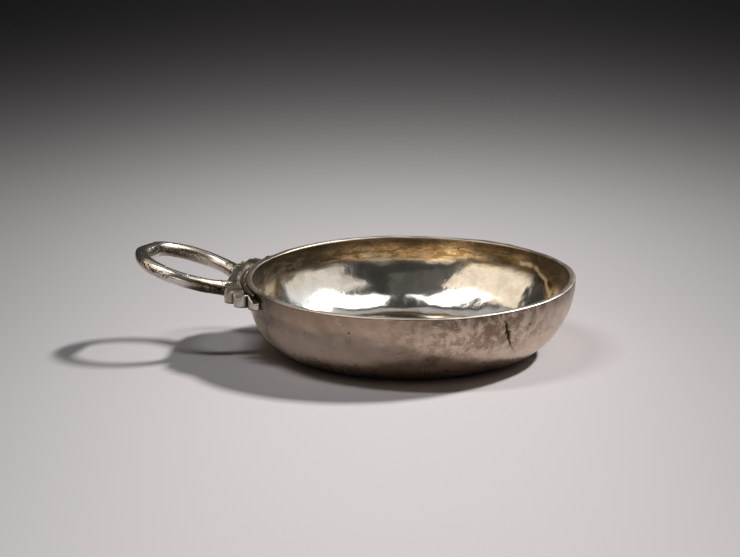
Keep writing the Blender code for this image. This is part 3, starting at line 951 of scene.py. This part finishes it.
# %% Worn silver: colour of the outside
upper_colour = tint(wide, (0.375, 0.275, 0.207), (0.30, 0.214, 0.154))
lower_colour = tint(wide, (0.78, 0.62, 0.505), (0.665, 0.515, 0.40))
taupe = tint(step(depth, 0.04, 0.74), upper_colour, lower_colour)
browned = times(less(scuff, mottle, True), step(depth, 0.25, 0.6, 0.93, 0.60))
outer_colour = layered(taupe, (
    ("shade at the base", step(depth, 0.70, 0.95, 0.0, 0.84), (0.19, 0.14, 0.10)),
    ("smudge", times(scuff, step(depth, 0.24, 0.08, 0.0, 0.6)), (0.19, 0.135, 0.095)),
    ("rubbed", times(times(scuff, mottle), 0.58), (0.74, 0.60, 0.50)),
    ("browned", browned, (0.21, 0.138, 0.092)),
    # painted sheen on the sides
    ("pale sides", times(mark_of(tree, "pale"), 0.48), (0.90, 0.76, 0.64)),
    ("soot", times(mark_of(tree, "soot"), 0.70), (0.12, 0.085, 0.06)),
    ("stain along the tear", times(mark_of(tree, "halo"), 0.62), (0.20, 0.135, 0.09)),
    # dirt and painted shade beside the bracket, and the darker crown at the right and back
    ("dirt", times(joint, step(close["Cloud"], 0.0, 1.0, 0.7, 0.95)), (0.085, 0.065, 0.045)),
    ("scratches", times(hair, step(scuff, 0.0, 0.8, 0.40, 0.60)), (0.75, 0.66, 0.57))))

# %% Worn silver: rim, tear, roughness and relief
# The crown is darker where the joint mark lies: dirt and painted shade by the bracket, and towards the
# right and back.
crown_colour = tint(joint, (0.74, 0.69, 0.63), (0.40, 0.35, 0.29))
dark_spots = most(pit, step(tear_mark, 0.22, 0.70))
colour = layered(outer_colour, (
    ("inside", inside, inner_colour),
    ("crown of the rim", times(crown, 0.8), crown_colour),
    ("edges of the tear", step(tear_mark, 0.0, 0.30, 0.0, 0.8), (0.13, 0.085, 0.055)),
    ("tear and pits", dark_spots, (0.040, 0.027, 0.018))))
inner_rough = summed(0.13, (stain, 0.16))
outer_rough = summed(0.27, (close["Cloud"], 0.12))
rough_mix = put(tree, "ShaderNodeMix", {"data_type": "FLOAT"}, i0=inside, i2=outer_rough, i3=inner_rough)
roughness = summed(rough_mix.outputs[0], (hair, 0.15), (crown, 0.12), (run, 0.30))
low = summed(times(pit, step(depth, 0.80, 0.96, 1.0, 0.12)), (hair, 0.06))
dents = put(tree, "ShaderNodeTexNoise", Vector=place, Scale=460.0, Detail=3.0, Roughness=0.55).outputs[0]
dent_depth = times(step(depth, 0.80, 0.97, 0.36, 0.05), step(inside, 0.0, 1.0, 0.45, 1.0))
grainy = summed(times(close["Grain"], 0.06), (dents, dent_depth))
apply_finish(worn, (bowl,), colour, roughness, less(grainy, low), 0.10 * MM)

# %% [markdown]
# ## The finishes of the handle
# The ring is rubbed bright by fingers. It keeps its dirt in the pits, painted shade lies on the
# undersides of both arms, and the file's flat is greyer. The cast bracket is brown in the flutes, and
# the edges of the lobes are bright from rubbing and from a painted highlight. Solder is greyer and
# duller than both.

# %% Wire silver of the ring
DIRT = (0.05, 0.04, 0.03)
wire, tree, place = silver_finish("wire_silver_aged")
wide = group_at(place, clouds, Size=150.0, Low=0.40, High=0.66)
hair = group_at(place, scratches, Share=1.0)["Scratch"]
pit = group_at(place, pit_group, Size=1500.0, Share=0.16, Width=0.30)["Pit"]
# Painted shade on the undersides of the arms, broken up by the grain.
dull = times(mark_of(tree, "dull"), step(wide["Grain"], 0.36, 0.56, 0.72, 1.0))
filed_grey = times(mark_of(tree, "filed"), step(wide["Grain"], 0.40, 0.56, 0.35, 0.95))
dirt = most(step(mark_of(tree, "pitted"), 0.2, 0.75), times(pit, 0.8))
colour = layered(tint(wide["Cloud"], (0.70, 0.65, 0.59), (0.47, 0.39, 0.31)), (
    ("dull places", dull, (0.105, 0.075, 0.045)),
    ("filed flat", filed_grey, (0.17, 0.145, 0.12)),
    ("dirt in pits", dirt, DIRT)))
roughness = summed(0.17, (wide["Cloud"], 0.14), (hair, 0.15))
low = summed(pit, (hair, 0.15))
apply_finish(wire, (ring,), colour, roughness, less(times(wide["Grain"], 0.25), low), 0.08 * MM)

# %% Cast silver of the bracket
cast, tree, place = silver_finish("cast_silver_aged")
hollow = mark_of(tree, "hollow")
wide = group_at(place, clouds, Size=220.0, Low=0.38, High=0.64)
pit = group_at(place, pit_group, Size=1700.0, Share=0.22, Width=0.32)["Pit"]
rubbed_and_highlit_colour = tint(wide["Cloud"], (0.74, 0.69, 0.61), (0.50, 0.455, 0.38))
colour = layered(tint(wide["Cloud"], (0.42, 0.37, 0.30), (0.22, 0.175, 0.125)), (
    # rubbed edges: wear on the outer faces, with a painted highlight there and on the ridge's crest
    ("rubbed edges", times(mark_of(tree, "bright"), 0.88), rubbed_and_highlit_colour),
    ("valleys", times(mark_of(tree, "valley"), 0.85), (0.10, 0.085, 0.06)),
    ("hollows", step(hollow, 0.08, 0.5, 0.0, 0.95), (0.058, 0.044, 0.030)),
    ("pits", times(pit, 0.8), DIRT)))
roughness = summed(0.30, (wide["Cloud"], 0.18), (hollow, 0.3))
feed(shader_of(cast).inputs["Metallic"], step(hollow, 0.1, 0.6, 1.0, 0.25))
shader_of(cast).inputs["Specular IOR Level"].default_value = 0.2
apply_finish(cast, (bracket,), colour, roughness, less(times(wide["Grain"], 0.4), pit), 0.09 * MM)

# %% Grey of the solder
solder, tree, place = silver_finish("solder_grey_aged")
wide = group_at(place, clouds, Size=420.0, Low=0.38, High=0.62)
colour = tint(wide["Cloud"], (0.32, 0.275, 0.22), (0.12, 0.09, 0.065))
roughness = summed(0.34, (wide["Cloud"], 0.16))
soldered = (bead, front_fillet, back_fillet)
apply_finish(solder, soldered, colour, roughness, times(wide["Grain"], 0.6), 0.08 * MM)

# %% [markdown]
# ## The floor
# The cup stands on a plain pale surface that falls into the dark behind it. The floor's own colour
# paints that fall-off of the light: a ramp along the direction away from the viewer, times a painted
# fall-off to both sides that grows steeper with the distance.

# %% Pale floor
FLOOR_HALF = 3.0
floor_corners = [(FLOOR_HALF * x, FLOOR_HALF * y, 0) for x, y in ((-1, -1), (1, -1), (1, 1), (-1, 1))]
floor_mesh = bpy.data.meshes.new("floor")
floor_mesh.from_pydata(floor_corners, [], [(0, 1, 2, 3)])
floor = placed("floor", floor_mesh)
paper = bpy.data.materials.new("pale_paper")
paper.use_nodes = True
floor_mesh.materials.append(paper)
shader_of(paper).inputs["Roughness"].default_value = 0.9
shader_of(paper).inputs["Specular IOR Level"].default_value = 0.03
floor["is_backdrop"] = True
print("floor", round(floor.dimensions.x, 1), "m wide")


# %% Colour of the floor
def way_along(place, direction):
    """How far a place lies along this direction, in metres."""
    settings = {"operation": "DOT_PRODUCT"}
    node = put(tree_of(place), "ShaderNodeVectorMath", settings, i0=place, i1=tuple(direction))
    return node.outputs["Value"]


RAMP_FROM = -0.2
RAMP_TO = 0.5
RAMP_STOPS = 25
RAMP_BLUR = 0.05
# The greys paint the light's fall-off from the near floor into the dark behind.
RAMP_PLACES = np.array([0.0, 0.24, 0.38, 0.46, 0.53, 0.60, 0.70, 0.85])
RAMP_GREYS = np.array([0.548, 0.558, 0.476, 0.405, 0.262, 0.106, 0.022, 0.004])
FALL_MIDDLE = -0.004
FALL_REST = 0.22
tree = paper.node_tree
place = put(tree, "ShaderNodeTexCoord").outputs["Object"]
far = put(tree, "ShaderNodeMapRange", i0=way_along(place, away), i1=RAMP_FROM, i2=RAMP_TO).outputs[0]
ramp = put(tree, "ShaderNodeValToRGB", Fac=far)
ramp.color_ramp.interpolation = "B_SPLINE"
stops = ramp.color_ramp.elements
positions = np.linspace(0, 1, RAMP_STOPS)
near_positions = positions[:, None] + np.linspace(-RAMP_BLUR, RAMP_BLUR, 11)
smooth_greys = np.interp(near_positions, RAMP_PLACES, RAMP_GREYS).mean(1)
for _ in positions[2:]:
    stops.new(0.5)
for stop, position, grey in zip(stops, positions, smooth_greys):
    stop.position = position
    stop.color = (grey * 1.03, grey * 0.985, grey, 1.0)
# A painted fall-off of the light towards both sides, steeper further away.
off_middle = less(way_along(place, right), FALL_MIDDLE)
painted_side_fall_off = times(times(off_middle, off_middle), plus(times(far, 76.0), 19.0))
fall_sum = summed(plus(times(painted_side_fall_off, 1.3), 1.0), (times(painted_side_fall_off, painted_side_fall_off), 2.5))
aside = plus(reckon("DIVIDE", 1 - FALL_REST, fall_sum), FALL_REST)
multiplied = {"data_type": "RGBA", "blend_type": "MULTIPLY"}
shaded = put(tree, "ShaderNodeMix", multiplied, i0=1.0, i6=ramp.outputs[0], i7=aside)
feed(shader_of(paper).inputs["Base Color"], shaded.outputs[2])
print("the floor's ramp has", len(stops), "stops")

# %% [markdown]
# ## Light
# Large soft panels, left, right, overhead and in front, give the broad pale patches in the bowl and
# leave dark gaps between them. They are linked to the cup alone, so that they show in the silver and
# don't wash out the shadow. One far lamp, high to the right and behind, draws that shadow. Two lamps
# reach the floor alone: a twin of the far lamp, for more contrast, and a small one above at the
# left, which draws a second, fainter shadow of the ring.

# %% What the lamps are linked to
cup = bpy.data.collections.new("cup_pieces")
for piece in (bowl, ring, bracket, bead, front_fillet, back_fillet):
    cup.objects.link(piece)
ground = bpy.data.collections.new("ground")
ground.objects.link(floor)

# %% Lamps and world
LAMP_AIM = Vector((0, 0, 10 * MM))
KEY_PLACE = (1790, 1050, 2143)
KEY_SIZE = (0.20, 0.55)
KEY_COLOUR = (1.0, 0.98, 0.96)
PLAIN = (1.0, 1.0, 1.0)
WARM_CARD = (1.0, 0.93, 0.80)
WORLD_GREY = (0.041, 0.041, 0.039, 1.0)


def panel(lit, name, place_mm, across, size, watts, colour=PLAIN):
    """An area lamp at right, away, up in millimetres, aimed at the bowl, its width along across.
    It lights the objects of one collection, or all of them where lit is None."""
    lamp = bpy.data.lights.new(name, "AREA")
    lamp.shape = "RECTANGLE"
    lamp.size, lamp.size_y = size
    lamp.energy = watts
    lamp.color = colour
    item = placed(name, lamp)
    spot = Vector((right * place_mm[0] + away * place_mm[1] + up * place_mm[2]) * MM)
    out = (spot - LAMP_AIM).normalized()
    side = Vector(across)
    side = (side - side.dot(out) * out).normalized()
    turn = Matrix((side, out.cross(side), out)).transposed()
    item.matrix_world = Matrix.Translation(spot) @ turn.to_4x4()
    if lit is not None:
        item.light_linking.receiver_collection = lit
    print("lamp", name, "of", watts, "W on", lit.name if lit else "all")


panel(None, "key_lamp", KEY_PLACE, right, KEY_SIZE, 88.0, KEY_COLOUR)
panel(ground, "key_on_floor", KEY_PLACE, right, KEY_SIZE, 25.0, KEY_COLOUR)
panel(cup, "overhead_right", (495, -15, 800), right + 0.03 * away, (0.71, 0.38), 2.15)
panel(cup, "overhead_left", (-325, -70, 800), right + 0.18 * away, (0.55, 0.37), 1.82)
panel(cup, "right_panel", (720, -100, 440), away - 0.28 * up, (0.92, 0.66), 1.40, (1.0, 0.955, 0.88))
panel(cup, "right_top", (600, -5, 720), away, (0.57, 0.24), 0.42, (1.0, 0.97, 0.92))
panel(cup, "left_panel", (-775, -190, 556), away - 0.30 * up, (1.14, 0.80), 2.90, (1.0, 0.88, 0.71))
panel(cup, "front_card", (0, -1500, 200), right, (2.4, 0.20), 1.3, WARM_CARD)
panel(cup, "front_right_card", (560, -1500, 380), right, (0.55, 0.26), 0.06, WARM_CARD)
panel(cup, "front_left_card", (-540, -1500, 370), right, (0.48, 0.28), 0.56, WARM_CARD)
panel(cup, "front_top", (-345, -640, 800), right, (1.36, 0.85), 0.24, (1.0, 0.95, 0.88))
panel(cup, "overhead_back", (0, 430, 780), right, (1.30, 0.34), 0.60)
panel(ground, "floor_fill", (-330, -70, 800), right, (0.34, 0.09), 2.3)
world = bpy.data.worlds.new("studio")
world.use_nodes = True
world.node_tree.nodes["Background"].inputs["Color"].default_value = WORLD_GREY
bpy.context.scene.world = world

# %% [markdown]
# ## Camera
# A very long lens from far off keeps the rim's ellipse even. The picture is wider than the cup,
# and the ring takes the left side, so the lens looks a centimetre to the left of the bowl's axis.

# %% Camera at the picture's angle
CAMERA_TURN = VIEW_TURN + math.radians(0.097)
CAMERA_FAR = 6000 * MM
AIM_LEFT = 9.85 * MM
AIM_DOWN = 0.40 * MM
camera_data = bpy.data.cameras.new("camera")
camera_data.sensor_width = 36.0
camera_data.lens = 1202.6
camera = placed("camera", camera_data)
sideways = np.array([math.cos(CAMERA_TURN), math.sin(CAMERA_TURN), 0.0])
towards = np.array([math.sin(CAMERA_TURN), -math.cos(CAMERA_TURN), 0.0])
back = towards * math.cos(VIEW_RISE) + up * math.sin(VIEW_RISE)
aim = BOWL_HEIGHT * up - AIM_LEFT * sideways - AIM_DOWN * up
camera.location = aim + CAMERA_FAR * back
camera.rotation_euler = Vector(-back).to_track_quat("-Z", "Y").to_euler()
bpy.context.scene.camera = camera
bpy.context.scene.view_settings.view_transform = "Standard"
print("camera at", np.round(np.array(camera.location) / MM), "mm")

# %% [markdown]
# ## The box round the new surfaces
# The box round the new surfaces is printed in millimetres.

# %% Print the box round the new surfaces
bpy.context.view_layer.update()
low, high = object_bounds()
print("visual box in mm:", [round(side / MM, 1) for side in high - low])
